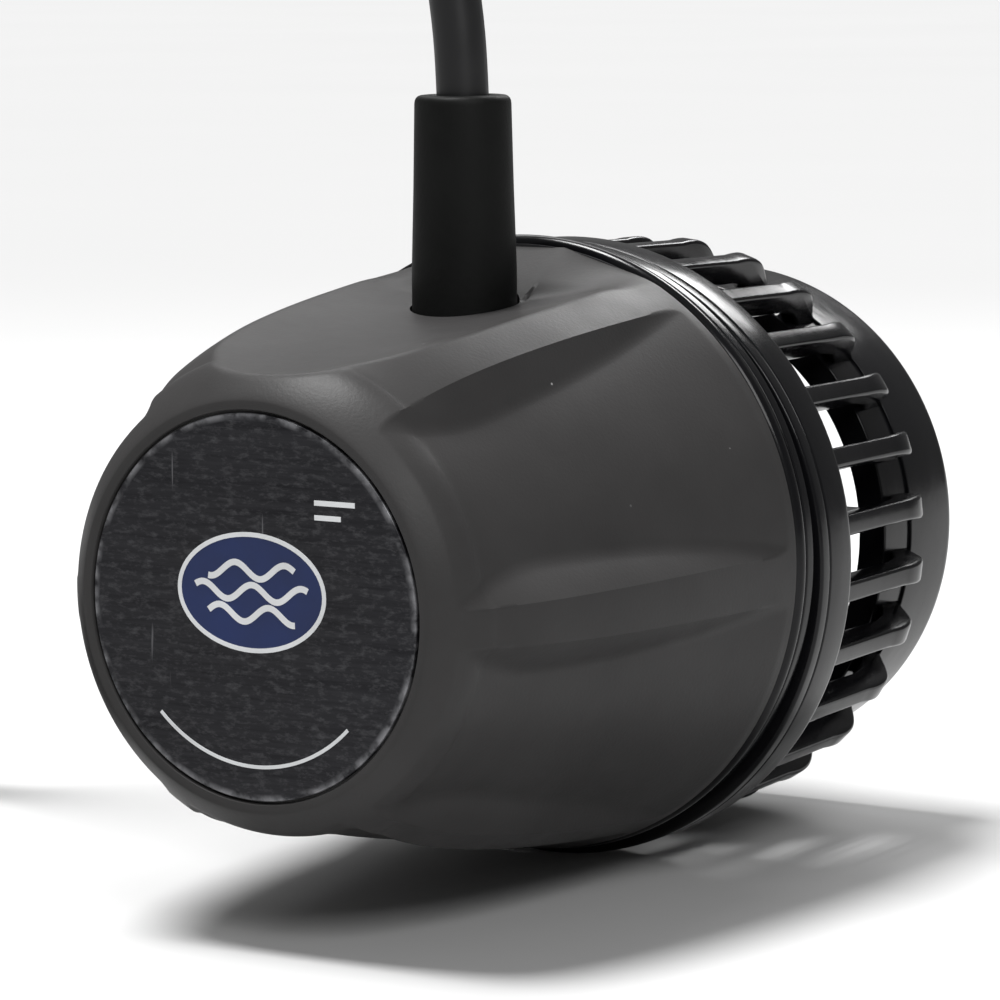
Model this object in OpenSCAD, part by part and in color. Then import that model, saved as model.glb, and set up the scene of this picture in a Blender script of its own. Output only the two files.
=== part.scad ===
// Magnetic-drive wave maker pump for an aquarium, in millimetres.
// The dry motor sits outside the glass and turns the propeller inside it with magnets.
// +Y runs along the pump's axis from the motor into the water, +Z points up along
// the cord's exit, and the origin is where the axis meets the glass.

/* [Motor housing] */
// Radius of the housing at its glass end
housing_r = 32.2; // [31:0.1:34]
// Distance from the glass to the front of the housing
housing_len = 54.6; // [54:0.1:58]
// Radius of the recess for the badge
badge_r = 19.0; // [17:0.1:19.2]
// Depth of the recess for the badge
badge_depth = 0.7; // [0.6:0.1:1]
// Thumb grooves around the housing, with the cord's trough as one more
groove_count = 5; // [1:1:5]

/* [Glass cover] */
// Thickness of the glossy cover ring at its rim
cover_t = 3.95; // [3.5:0.05:4.1]
// Gap between the cover and the glass that the rubber pads fill
pad_stand = 0.25; // [0.2:0.05:0.4]
// Rubber pads on each glass face
pad_count = 4; // [3:1:4]

/* [Strain relief and cord] */
// Distance of the cord's exit from the glass
boot_y = 15.9; // [15:0.1:18]
// Radius of the strain relief at its foot
boot_r = 5.4; // [5:0.1:5.6]
// Height of the strain relief's top above the pump's axis
boot_top = 47.5; // [44:0.5:50]
// Diameter of the cord
cord_d = 5.4; // [5:0.1:5.4]

/* [Motor] */
// Radius of the motor's steel bell
bell_r = 18.6; // [18:0.1:19]
// Radius of the motor shaft
shaft_r = 2.0; // [1.8:0.1:2.2]
// Teeth on the stator
tooth_count = 9; // [6:3:9]
// Magnets on the drive disc
drive_magnet_count = 8; // [6:2:8]

/* [Wet side] */
// How far the wet side hangs below the motor's axis
wet_sag = 1.0; // [0:0.1:1.2]
// Outer radius of the wet base and the cage flange
wet_r = 32.7; // [32:0.1:33]
// Bars around the cage
rib_count = 28; // [20:4:28]
// Distance from the glass to the end of the outlet ring
cage_end = 41.6; // [41:0.1:43]
// Radius of the propeller's blades
blade_r = 20.5; // [18:0.5:21]
// Blades on the propeller
blade_count = 3; // [2:1:4]

/* [Hidden] */
$fn = 96;
gap = 0.05;                          // running clearance between turning and still pieces
small = 0.01;

rim_y = -cover_t - pad_stand;        // glass end of the housing
front_y = -housing_len;              // badge end of the housing
seat_z = 25.0;                       // flat seat of the strain relief
trough_z = 25.9;                     // trough floor at the cord's exit
trough_tilt = 5.7;                   // slope of the trough floor, degrees
trough_r = 60;                       // cross radius of the trough
ceiling_z = trough_z - 2.3;          // inside face of the wall under the trough
groove_tilt = 10.9;                  // slope of the thumb grooves, degrees
groove_z = 32.6;                     // distance of the grooves' floor from the axis at the glass
groove_step = 60;                    // angle between two grooves, degrees
neck_r = 4.2;                        // strain relief where it passes the wall
bore_r = cord_d / 2 + gap;           // bore of the strain relief

tube_r = 5.9;                        // bearing tube, outside
bearing_r = 4.5;                     // bearings, outside
bearing_w = 4;
rear_bearing_y = -47;
front_bearing_y = -27;
board_y = -48.2;                     // circuit board
board_face = -46.8;
bell_y = -43;                        // open end of the bell
bell_end = -14;                      // bell's end plate
disc_y = -12.4;                      // drive disc
disc_t = 2.8;
disc_r = 20;
screw_r = 1.3;
cover_screw_pcr = 25.8;              // circle of the cover's screws, radius
boss_r = 3.2;                        // bosses that the cover's screws bite into
cover_in = -2.6;                     // inner face of the cover
pad_r = 5;
pad_pcr = 23;                        // circle of the rubber pads, radius
pad_t = 0.8;

base_y = pad_stand;                  // glass face of the wet base
base_top = 2.0;
boss_top = 3.6;
wall_in = 27.0;                      // bayonet wall of the wet base
wall_out = 28.6;
lug_r = 29.6;
lug_y = 4.4;
lug_t = 1.4;
lug_w = 6;
lug_count = 4;
twist = 15;                          // turn that frees the cage, degrees
flange_y = base_top + gap;
flange_top = 7.2;
wet_shaft_r = 1.5;
carrier_r = 24.5;
carrier_y = 4.5;
carrier_top = 10.2;
hub_r = 5;
hub_end = 32.6;
ring_in = 23.8;                      // outlet ring
ring_out = 27.3;
ring_y = 25.5;
rib_end = 31.2;                      // where the bars stop on the outlet ring
ring_step = 0.3;                     // shoulder in front of the bars
rib_t = 2.2;
spider_y = 34.4;

// Route of the cord: out of the strain relief, over an arch beside the pump and down
// to the surface that the coil lies on.
floor_z = -(wet_r + wet_sag) - 0.2;
lay_z = floor_z + cord_d / 2;
coil_lift = 1.0;                     // thickness of the tie under the coil
coil_c = [-95.5, -38];
coil_mid_r = 27.5;
coil_half = [9.2, 2 * cord_d];       // half of the winding's width and height
coil_out_r = coil_mid_r + coil_half.x - cord_d / 2;
coil_z = floor_z + coil_lift + coil_half.y;
tie_w = 9;
cord_route = [
    [0, -boot_y, 24], [0, -boot_y, 47], [-0.8, -boot_y, 57], [-4, -boot_y, 72],
    [-16, -14, 89], [-37, -10, 97], [-58, -6.5, 91], [-71, -4.5, 74], [-75, -4, 54],
    [-75.5, -4, 30], [-75.5, -4, 6], [-78.2, -4, -4], [-85.5, -4, -11.3],
    [coil_c.x, -4, lay_z + coil_lift + 3 * cord_d]
];
plug_y = coil_c.y - coil_out_r;
plug_r = 6.5;                        // connector's grip
sleeve_r = 5.6;                      // connector's metal sleeve
plug_z = floor_z + plug_r;
tail_route = [
    [coil_c.x, plug_y, lay_z + coil_lift], [-88, plug_y, lay_z + 1.4],
    [-81, plug_y, plug_z - 0.6], [-74, plug_y, plug_z]
];
plug_x = -74;                        // start of the plug's strain relief
plug_body_x = -61;
plug_sleeve_x = -39;
plug_end_x = -28;

// ---- helpers ----------------------------------------------------------------------

// Children drawn in (radius, height) revolve about +Y.
module revolve() rotate([-90, 0, 0]) rotate_extrude() children();
module rod(r, y0, y1) translate([0, y0, 0]) rotate([-90, 0, 0]) cylinder(r = r, h = y1 - y0);
module tube(r_out, r_in, y0, y1) revolve() translate([r_in, y0]) square([r_out - r_in, y1 - y0]);
// Copies around the axis, counted from the top towards +X.
module around(n, start = 0) for (k = [0 : n - 1]) rotate([0, start + k * 360 / n, 0]) children();
module rod_x(r, x0, x1) translate([x0, 0, 0]) rotate([0, 90, 0]) cylinder(r = r, h = x1 - x0);

function bezier(a, b, c, d, t) =
    pow(1 - t, 3) * a + 3 * pow(1 - t, 2) * t * b + 3 * (1 - t) * t * t * c + t * t * t * d;
function curve(a, b, c, d, n) = [for (k = [0 : n]) bezier(a, b, c, d, k / n)];
function arc(cx, cy, r, a0, a1, n) =
    [for (k = [0 : n]) let (a = a0 + (a1 - a0) * k / n) [cx + r * cos(a), cy + r * sin(a)]];

// Smooth path through the points of a route, and the frame of each ring on it.
function spline(p, i, t) =
    let (n = len(p), a = p[max(i - 1, 0)], b = p[i], c = p[i + 1], d = p[min(i + 2, n - 1)])
    0.5 * (2 * b + (c - a) * t + (2 * a - 5 * b + 4 * c - d) * t * t
           + (3 * b - a - 3 * c + d) * t * t * t);
function path(p, steps) = concat(
    [for (i = [0 : len(p) - 2]) for (k = [0 : steps - 1]) spline(p, i, k / steps)],
    [p[len(p) - 1]]);
function unit(v) = v / norm(v);
function ahead(q, i) = unit(q[min(i + 1, len(q) - 1)] - q[max(i - 1, 0)]);

// A round flexible tube: the side vector lies across the plane of the route.
module swept(route, r, steps, sides, across) {
    q = path(route, steps);
    n = len(q);
    points = [for (i = [0 : n - 1])
        let (f = ahead(q, i), s = unit(across - (across * f) * f), u = cross(f, s))
        for (k = [0 : sides - 1])
            q[i] + r * (cos(k * 360 / sides) * s + sin(k * 360 / sides) * u)];
    walls = [for (i = [0 : n - 2]) for (k = [0 : sides - 1])
        let (a = i * sides + k, b = i * sides + (k + 1) % sides)
        [a, b, b + sides, a + sides]];
    ends = [[for (k = [sides - 1 : -1 : 0]) k],
            [for (k = [0 : sides - 1]) (n - 1) * sides + k]];
    polyhedron(points = points,
        faces = [for (f = concat(walls, ends)) [for (k = [len(f) - 1 : -1 : 0]) f[k]]]);
}

// ---- motor housing ----------------------------------------------------------------

function housing_outline() = concat(
    [[0, rim_y], [housing_r, rim_y]],
    curve([housing_r, rim_y], [29.4, -43.2], [24.6, -47.2], [24.2, -49.2], 16),
    curve([24.2, -49.2], [23.7, -51.7], [20.3, front_y], [19.9, front_y], 6),
    [[0, front_y]]);

module trough() intersection() {
    translate([0, -boot_y, trough_z]) rotate([trough_tilt, 0, 0]) translate([0, 0, trough_r])
        rotate([90, 0, 0]) cylinder(r = trough_r, h = 100, center = true, $fn = 200);
    rotate([90, 0, 90]) translate([0, 0, -20]) linear_extrude(40)
        polygon([[-70, 10], [-20, 20], [-12.6, 24], [rim_y + 0.6, 32], [rim_y + 0.6, 50], [-70, 50]]);
}

module cavity() difference() {
    revolve() polygon([[0, front_y + 2.6], [19.2, front_y + 2.6], [21.2, -50], [22.5, -44],
        [23.8, -38], [25.8, -28], [27.6, -18], [28.8, -10], [29.4, rim_y + 1], [0, rim_y + 1]]);
    translate([0, -boot_y, ceiling_z]) rotate([trough_tilt, 0, 0])
        translate([-18, -50, 0]) cube([36, 80, 20]);
    around(4, 45) translate([0, 0, cover_screw_pcr]) rod(boss_r, -16, rim_y + 2);
}

module motor_housing() color([0.16, 0.16, 0.17]) difference() {
    revolve() polygon(housing_outline());
    cavity();
    rod(badge_r, front_y - 1, front_y + badge_depth);
    for (k = [1 : groove_count]) rotate([0, k * groove_step, 0]) translate([0, 0, groove_z])
        rotate([groove_tilt, 0, 0]) translate([-20, -60, 0]) cube([40, 70, 10]);
    trough();
    translate([0, -boot_y, seat_z]) cylinder(r = boot_r + gap, h = 10);
    translate([0, -boot_y, 19]) cylinder(r = neck_r, h = 10);
    translate([0, -boot_y, 19]) cylinder(r = 6.5, h = 4.2);
    tube(31.6, 29.2, rim_y - 0.3, rim_y + 1);
    around(4, 45) translate([0, 0, cover_screw_pcr]) rod(screw_r, -13, rim_y + 1);
    around(3) translate([0, 0, 12]) rod(screw_r - 0.3, front_y + 1.2, -50);
}

module badge_plate() color([0.24, 0.24, 0.26])
    rod(badge_r - 0.25, front_y + 0.1, front_y + badge_depth);

// ---- glass cover ------------------------------------------------------------------

module face_cover() color([0.05, 0.05, 0.055]) difference() {
    union() {
        revolve() polygon(concat(
            [[0, cover_in], [29, cover_in], [29.2, rim_y]],
            arc(31.5, rim_y + 1, 1, -90, 90, 8),
            [[32.1, rim_y + 2.2], [32.4, rim_y + 2.6], [32.4, -0.7], [32, -pad_stand],
             [0, -pad_stand]]));
        around(4, 45) translate([0, 0, cover_screw_pcr]) rod(boss_r, rim_y, cover_in + small);
    }
    around(4, 45) translate([0, 0, cover_screw_pcr]) {
        rod(screw_r + 0.2, -6, 1);
        rod(2.9, -1.6, 1);
    }
    around(pad_count) translate([0, 0, pad_pcr]) rod(pad_r, -pad_t, 1);
}

module cover_gasket() color([0.1, 0.1, 0.1]) tube(31.6, 29.4, rim_y - 0.3, rim_y);

module cover_screws() color([0.7, 0.7, 0.72]) around(4, 45) translate([0, 0, cover_screw_pcr])
    difference() {
        union() {
            rod(screw_r, -12, -1.6);
            rod(2.6, -1.6, -0.5);
        }
        translate([0, -1.1, 0]) rotate([-90, 0, 0]) cylinder(r = 1.2, h = 1, $fn = 6);
    }

module dry_pads() color([0.13, 0.13, 0.14])
    around(pad_count) translate([0, 0, pad_pcr]) rod(pad_r, -pad_t, 0);

// ---- strain relief, cord and connector --------------------------------------------

module strain_relief() color([0.11, 0.11, 0.115]) translate([0, -boot_y, 0]) rotate_extrude()
    polygon(concat(
        [[bore_r, 21.8], [6.2, 21.8], [6.2, 23.2], [neck_r, 23.2], [neck_r, seat_z],
         [boot_r, seat_z]],
        arc(boot_r - 1.3, boot_top - 0.8, 0.8, 0, 90, 6),
        [[bore_r + 0.3, boot_top], [bore_r, boot_top - 0.3]]));

module cord() color([0.05, 0.05, 0.055]) {
    swept(cord_route, cord_d / 2, 4, 10, [0, 1, 0]);
    swept(tail_route, cord_d / 2, 3, 10, [0, 1, 0]);
}

// The winding's outer shape, or a little more around it.
module winding(extra = 0) translate([coil_c.x, coil_c.y, coil_z]) rotate_extrude()
    translate([coil_mid_r, 0]) square(2 * (coil_half + [extra, extra]), center = true);

module cord_coil() color([0.05, 0.05, 0.055]) winding();

// A strap around the winding, on the side next to the pump.
module cord_tie() color([0.2, 0.2, 0.22]) difference() {
    translate([coil_c.x + coil_mid_r, coil_c.y, coil_z]) cube([2 * (coil_half.x + coil_lift),
        tie_w, 2 * (coil_half.y + coil_lift)], center = true);
    winding(gap);
}

module at_plug() translate([0, plug_y, plug_z]) children();

module connector_relief() color([0.09, 0.09, 0.095]) at_plug() rotate([0, 90, 0]) rotate_extrude()
    polygon([[0, plug_x], [3.4, plug_x], [3.7, plug_x + 0.6], [4.7, plug_body_x],
        [0, plug_body_x]]);

module connector_body() color([0.09, 0.09, 0.095]) at_plug() difference() {
    rotate([0, 90, 0]) rotate_extrude() polygon([[0, plug_body_x], [5.4, plug_body_x],
        [plug_r, plug_body_x + 2.5], [plug_r, plug_sleeve_x - 1], [plug_r - 0.5, plug_sleeve_x],
        [0, plug_sleeve_x]]);
    for (k = [0 : 6]) rotate([0, 90, 0]) translate([0, 0, plug_body_x + 5.5 + k * 2])
        rotate_extrude() translate([plug_r - 0.4, 0]) square([1, 0.9]);
}

module connector_sleeve() color([0.75, 0.75, 0.76]) at_plug() difference() {
    rod_x(sleeve_r, plug_sleeve_x, plug_end_x);
    rod_x(sleeve_r - 0.7, plug_sleeve_x + 1.5, plug_end_x + 1);
    translate([plug_end_x - 6, -0.9, 4]) cube([7, 1.8, 1.2]);
}

module connector_pins() color([0.8, 0.65, 0.3]) at_plug()
    for (k = [0 : 2]) rotate([k * 120 + 60, 0, 0]) translate([0, 0, 2.5])
        rod_x(0.7, plug_sleeve_x + 1.5, plug_end_x - 1.5);

// ---- motor ------------------------------------------------------------------------

module bearing_tube() color([0.6, 0.6, 0.62]) difference() {
    union() {
        rod(16, front_y + 2.6, -50.6);
        rod(tube_r, -51, front_bearing_y + bearing_w + 0.4);
        around(3, 60) translate([0, 0, 12]) rod(1.8, -51, board_y);
    }
    rod(bearing_r, rear_bearing_y, front_bearing_y + bearing_w + 1);
    rod(3.8, -50.4, rear_bearing_y + 1);
    around(3) translate([0, 0, 12]) rod(screw_r, -54, -50);
}

module tube_screws() color([0.7, 0.7, 0.72]) around(3) translate([0, 0, 12]) {
    rod(screw_r - 0.3, front_y + 1.4, -50.6);
    rod(2.2, -50.6, -49.6);
}

module bearing(y) color([0.78, 0.78, 0.8]) tube(bearing_r, shaft_r + gap, y, y + bearing_w);
module rear_bearing() bearing(rear_bearing_y);
module front_bearing() bearing(front_bearing_y);

module stator_core() color([0.35, 0.36, 0.38]) {
    tube(9, tube_r, -41, -27);
    around(tooth_count) {
        translate([-1.4, -41, 8.8]) cube([2.8, 14, 5]);
        intersection() {
            tube(15.6, 13.6, -41, -27);
            translate([-4.3, -42, 12]) cube([8.6, 16, 6]);
        }
    }
}

module stator_windings() color([0.72, 0.4, 0.2]) around(tooth_count) difference() {
    translate([-2.6, -42.4, 9.4]) cube([5.2, 16.8, 3.8]);
    translate([-1.4 - small, -41 - small, 9]) cube([2.8 + 2 * small, 14 + 2 * small, 5]);
}

module circuit_board() color([0.1, 0.35, 0.2]) difference() {
    tube(18.5, tube_r + 0.3, board_y, board_face);
    around(3) translate([0, 0, 12]) rod(2.6, -49, -46);
    translate([0, 0, 16.6]) rod(0.9, -49, -46);
    for (s = [-1, 1]) translate([s * 2.2, 0, 16.4]) rod(0.9, -49, -46);
}

module board_parts() color([0.15, 0.15, 0.16]) {
    around(3, 60) translate([-2.5, board_face, 10.5]) cube([5, 1.4, 4]);
    around(6, 30) translate([0, 0, 8.6]) rod(0.9, board_face, -45.6);
    for (s = [-1, 1]) translate([s * 12, 0, -9]) rod(2.2, board_face, -44.2);
}

// Three insulated leads from the cord to the board, over the top of the bell.
module motor_leads() color([0.75, 0.2, 0.15]) for (s = [-1, 0, 1])
    swept([[s * 2.2, -48.6, s == 0 ? 16.6 : 16.4], [s * 2.2, -46.4, 16.8],
        [s * 2.2, -44.4, 19.4], [s * 2.0, -38, 20.4], [s * 1.7, -26, 21.2],
        [s * 1.4, -19, 20.8], [s * 1.2, -boot_y - 0.2, 23.4]], 0.55, 3, 8, [1, 0, 0]);

module rotor_shaft() color([0.8, 0.8, 0.82]) rod(shaft_r, -49.5, -10);

module shaft_clip() color([0.5, 0.5, 0.52]) difference() {
    tube(3.4, shaft_r, -47.9, -47.2);
    translate([-0.8, -48.5, 0]) cube([1.6, 2, 5]);
}

module rotor_bell() color([0.55, 0.56, 0.58]) {
    tube(bell_r, bell_r - 1.4, bell_y, bell_end + small);
    tube(bell_r, shaft_r, bell_end, disc_y);
    tube(5, shaft_r, -19, bell_end + small);
    tube(3.2, shaft_r, front_bearing_y + bearing_w + 0.2, -19 + small);
}

module bell_magnets() color([0.3, 0.3, 0.32]) intersection() {
    tube(bell_r - 1.4, bell_r - 2.7, -41, -27);
    around(12) translate([-3.8, -42, 10]) cube([7.6, 16, 10]);
}

module drive_disc() color([0.55, 0.56, 0.58]) tube(disc_r, shaft_r, disc_y, disc_y + disc_t);

module magnet_ring(y0, y1) around(drive_magnet_count) translate([0, 0, 14.5]) rod(4.6, y0, y1);
module drive_magnets() color([0.7, 0.7, 0.72]) magnet_ring(disc_y + disc_t, -4.6);

// ---- wet side ---------------------------------------------------------------------

module wet() translate([0, 0, -wet_sag]) children();

module wet_base() color([0.05, 0.05, 0.055]) wet() difference() {
    union() {
        revolve() polygon([[0, base_y], [wet_r - 0.4, base_y], [wet_r, base_y + 0.4],
            [wet_r, base_top - 0.3], [wet_r - 0.3, base_top], [wall_out, base_top],
            [wall_out, 6.4], [wall_in, 6.4], [wall_in, base_top], [4.6, base_top],
            [4.6, boss_top], [0, boss_top]]);
        around(lug_count) intersection() {
            tube(lug_r, wall_out - 0.3, lug_y, lug_y + lug_t);
            translate([-lug_w / 2, 0, 20]) cube([lug_w, 20, 20]);
        }
    }
    rod(3, 1.2, boss_top + 1);
    around(pad_count) translate([0, 0, pad_pcr]) rod(pad_r, -1, pad_t);
}

module wet_pads() color([0.13, 0.13, 0.14]) wet()
    around(pad_count) translate([0, 0, pad_pcr]) rod(pad_r, 0, pad_t);

module rear_bushing() color([0.9, 0.9, 0.88]) wet() difference() {
    rod(3, 1.2, boss_top);
    rod(wet_shaft_r + gap, 1.5, boss_top + 1);
}

module thrust_washer() color([0.85, 0.85, 0.82]) wet()
    tube(4.2, wet_shaft_r + 2 * gap, boss_top, boss_top + 0.7);

// ---- propeller --------------------------------------------------------------------

module magnet_carrier() color([0.12, 0.12, 0.13]) wet() difference() {
    revolve() polygon([[wet_shaft_r, carrier_y], [carrier_r - 0.6, carrier_y],
        [carrier_r, carrier_y + 0.6], [carrier_r, carrier_top - 2.4], [carrier_r - 3, carrier_top],
        [wet_shaft_r, carrier_top]]);
    magnet_ring(carrier_y + 0.5, carrier_y + 3.5);
    tube(20.2, 6, carrier_y + 3.5, carrier_y + 4.5);
}

module carrier_plate() color([0.55, 0.56, 0.58]) wet()
    tube(20.2, 6, carrier_y + 3.5, carrier_y + 4.5);

module carrier_magnets() color([0.7, 0.7, 0.72]) wet() magnet_ring(carrier_y + 0.5, carrier_y + 3.5);

module propeller_shaft() color([0.85, 0.85, 0.86]) wet() rod(wet_shaft_r, 1.8, 37.2);

module propeller() color([0.1, 0.1, 0.11]) wet() difference() {
    union() {
        revolve() polygon([[0, carrier_top], [hub_r, carrier_top], [hub_r, 26], [4.4, 29],
            [3.2, 30.8], [0, 30.8]]);
        intersection() {
            rod(blade_r, 12, 30);
            around(blade_count) translate([0, 20, 0]) rotate([0, 0, 38])
                translate([-1.1, -16, 2]) cube([2.2, 32, 20]);
        }
    }
    rod(wet_shaft_r, 0, 40);
}

module propeller_nut() color([0.8, 0.8, 0.82]) wet() difference() {
    translate([0, 30.8, 0]) rotate([-90, 0, 0]) cylinder(r = 2.9, h = 1.8, $fn = 6);
    rod(wet_shaft_r, 30, 34);
}

// ---- cage -------------------------------------------------------------------------

module cage_flange() color([0.05, 0.05, 0.055]) wet() difference() {
    revolve() polygon([[wall_out + 2 * gap, flange_y], [wet_r - 0.3, flange_y],
        [wet_r, flange_y + 0.3], [wet_r, flange_top - 0.8], [wet_r - 0.8, flange_top],
        [wall_out + 2 * gap, flange_top]]);
    tube(lug_r + 0.2, wall_out, lug_y - 0.2, lug_y + lug_t + 0.2);
    around(lug_count, -twist) intersection() {
        tube(lug_r + 0.2, wall_out, flange_y - 1, lug_y);
        translate([-lug_w / 2 - 0.3, -1, 20]) cube([lug_w + 0.6, 20, 20]);
    }
}

// Side outline of one bar in (radius, height), from the flange to the outlet ring.
function rib_outline() = concat(
    [[28.9, flange_top], [31.9, flange_top], [31.7, 22]],
    curve([31.7, 22], [31.9, 26.8], [30.6, 27.6], [ring_out - ring_step, rib_end], 8),
    [[ring_out - ring_step - 0.1, rib_end], [ring_out - ring_step - 0.1, 27.2], [28.6, 24.6]]);

module cage_ribs() color([0.05, 0.05, 0.055]) wet() around(rib_count, 180 / rib_count)
    difference() {
        rotate([90, 0, 90]) linear_extrude(rib_t, center = true)
            polygon([for (p = rib_outline()) [p[1], p[0]]]);
        rod(ring_out - ring_step, ring_y - 1, cage_end);
    }

module outlet_ring() color([0.05, 0.05, 0.055]) wet() revolve() polygon(concat(
    [[ring_in, ring_y], [ring_out - ring_step, ring_y], [ring_out - ring_step, rib_end],
     [ring_out, rib_end], [ring_out, cage_end - 1.8]],
    arc(ring_out - 1.8, cage_end - 1.8, 1.8, 0, 90, 8),
    [[ring_in + 0.6, cage_end], [ring_in, cage_end - 0.6]]));

module outlet_spider() color([0.05, 0.05, 0.055]) wet() difference() {
    union() {
        revolve() polygon(concat([[0, spider_y], [5, spider_y], [5, cage_end - 4.5]],
            arc(2, cage_end - 4.5, 3, 0, 90, 6), [[0, cage_end - 1.5]]));
        intersection() {
            around(4) translate([-1, spider_y, 4]) cube([2, 5, 30]);
            rod(ring_in, 30, 45);
        }
    }
    rod(3, spider_y - 1, 38);
}

module front_bushing() color([0.9, 0.9, 0.88]) wet() difference() {
    rod(3, spider_y, 38);
    rod(wet_shaft_r + gap, spider_y - 1, 37.5);
}

motor_housing();
badge_plate();
face_cover();
cover_gasket();
cover_screws();
dry_pads();
strain_relief();
cord();
cord_coil();
cord_tie();
connector_relief();
connector_body();
connector_sleeve();
connector_pins();
bearing_tube();
tube_screws();
rear_bearing();
front_bearing();
stator_core();
stator_windings();
circuit_board();
board_parts();
motor_leads();
rotor_shaft();
shaft_clip();
rotor_bell();
bell_magnets();
drive_disc();
drive_magnets();
wet_base();
wet_pads();
rear_bushing();
thrust_washer();
magnet_carrier();
carrier_plate();
carrier_magnets();
propeller_shaft();
propeller();
propeller_nut();
cage_flange();
cage_ribs();
outlet_ring();
outlet_spider();
front_bushing();
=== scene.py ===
"""Looks of a magnet-coupled wave maker pump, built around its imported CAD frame.

Shapes are written in millimetres in the frame's axes: +Y along the pump's axis into the
water, +Z up along the cord's exit. An angle around the axis counts from the top towards +X.
"""
import math

import bmesh
import bpy
from mathutils import Matrix, Vector


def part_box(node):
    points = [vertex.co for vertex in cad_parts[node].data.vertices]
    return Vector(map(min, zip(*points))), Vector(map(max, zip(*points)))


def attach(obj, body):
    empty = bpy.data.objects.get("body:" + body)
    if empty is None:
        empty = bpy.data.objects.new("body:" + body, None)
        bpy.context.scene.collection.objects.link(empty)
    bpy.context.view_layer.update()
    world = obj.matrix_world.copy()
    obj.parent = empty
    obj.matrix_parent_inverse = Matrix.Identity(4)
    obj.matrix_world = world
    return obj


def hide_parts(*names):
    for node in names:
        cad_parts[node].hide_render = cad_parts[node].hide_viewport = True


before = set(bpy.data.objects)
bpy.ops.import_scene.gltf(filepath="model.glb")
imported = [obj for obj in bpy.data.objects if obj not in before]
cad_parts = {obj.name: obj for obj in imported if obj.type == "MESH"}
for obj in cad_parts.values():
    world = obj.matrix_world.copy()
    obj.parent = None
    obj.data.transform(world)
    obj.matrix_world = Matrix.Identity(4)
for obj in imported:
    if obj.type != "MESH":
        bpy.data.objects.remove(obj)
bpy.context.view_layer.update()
MM = 0.001


def node_box(name):
    """A CAD node's lowest and highest corners in millimetres."""
    low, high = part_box(name)
    return Vector(low) / MM, Vector(high) / MM


# ---- sizes read from the frame ------------------------------------------------------

HOUSING_LOW, HOUSING_HIGH = node_box("motor_housing")
FRONT_Y = HOUSING_LOW.y
RIM_Y = HOUSING_HIGH.y
HOUSING_R = HOUSING_HIGH.x
PLATE_LOW, PLATE_HIGH = node_box("badge_plate")
BADGE_R = PLATE_HIGH.x
COVER_HIGH = node_box("face_cover")[1]
BOOT_LOW, BOOT_HIGH = node_box("strain_relief")
BOOT_Y = (BOOT_LOW.y + BOOT_HIGH.y) / 2
BASE_LOW, BASE_HIGH = node_box("wet_base")
WET_R = BASE_HIGH.x
WET_Z = (BASE_LOW.z + BASE_HIGH.z) / 2
PAD_Y = node_box("dry_pads")[0].y
WET_PAD_Y = node_box("wet_pads")[1].y
FLANGE_LOW, FLANGE_HIGH = node_box("cage_flange")
RING_LOW, RING_HIGH = node_box("outlet_ring")
SPIDER_LOW, SPIDER_HIGH = node_box("outlet_spider")
CARRIER_LOW, CARRIER_HIGH = node_box("magnet_carrier")
PROPELLER_LOW, PROPELLER_HIGH = node_box("propeller")
COIL_LOW, COIL_HIGH = node_box("cord_coil")
TIE_LOW, TIE_HIGH = node_box("cord_tie")
RELIEF_LOW, RELIEF_HIGH = node_box("connector_relief")
FLOOR_Z = TIE_LOW.z
CORD_D = 5.4
BOOT_FOOT_Z = 25.0                    # where the strain relief starts, inside the housing

# ---- camera -------------------------------------------------------------------------


VIEW_ANGLES = (31.87, 7.34, -0.47)    # azimuth, elevation and roll in degrees
VIEW_AIM = (9.21, -24.2, 7.54)
VIEW_DISTANCE = 450
LENS = 162.07                         # with a sensor 36 mm wide


def add_camera():
    """The photograph's view."""
    azimuth, elevation, roll = (math.radians(a) for a in VIEW_ANGLES)
    back = Vector((math.sin(azimuth) * math.cos(elevation),
                   -math.cos(azimuth) * math.cos(elevation),
                   math.sin(elevation)))
    camera = bpy.data.cameras.new("camera")
    camera.lens = LENS
    camera.sensor_width = 36
    camera.clip_start = 0.02
    camera.clip_end = 100
    obj = bpy.data.objects.new("camera", camera)
    bpy.context.scene.collection.objects.link(obj)
    obj.location = (Vector(VIEW_AIM) + back * VIEW_DISTANCE) * MM
    rotation = back.to_track_quat("Z", "Y").to_matrix() @ Matrix.Rotation(roll, 3, "Z")
    obj.rotation_euler = rotation.to_euler()
    bpy.context.scene.camera = obj


add_camera()

# ---- mesh helpers -------------------------------------------------------------------


def smooth(mesh, angle=35):
    """Smooth faces with sharp edges where they meet at more than the angle."""
    for polygon in mesh.polygons:
        polygon.use_smooth = True
    mesh.set_sharp_from_angle(angle=math.radians(angle))


def make_object(name, points, faces):
    """A mesh object from points in millimetres."""
    mesh = bpy.data.meshes.new(name)
    mesh.from_pydata([Vector(p) * MM for p in points], [], faces)
    mesh.validate()
    work = bmesh.new()
    work.from_mesh(mesh)
    bmesh.ops.recalc_face_normals(work, faces=work.faces)
    work.to_mesh(mesh)
    work.free()
    smooth(mesh)
    obj = bpy.data.objects.new(name, mesh)
    bpy.context.scene.collection.objects.link(obj)
    return obj


def place(obj, body, slot, material, *replaced):
    """The piece rides on a body, takes a material and stands for CAD nodes. The slot is not used.
    """
    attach(obj, body)
    obj.data.materials.clear()
    obj.data.materials.append(material)
    if replaced:
        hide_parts(*replaced)
    return obj


def lerp(a, b, t):
    return a + (b - a) * t


def smoothstep(a, b, x):
    t = min(max((x - a) / (b - a), 0.0), 1.0)
    return t * t * (3 - 2 * t)


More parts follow.
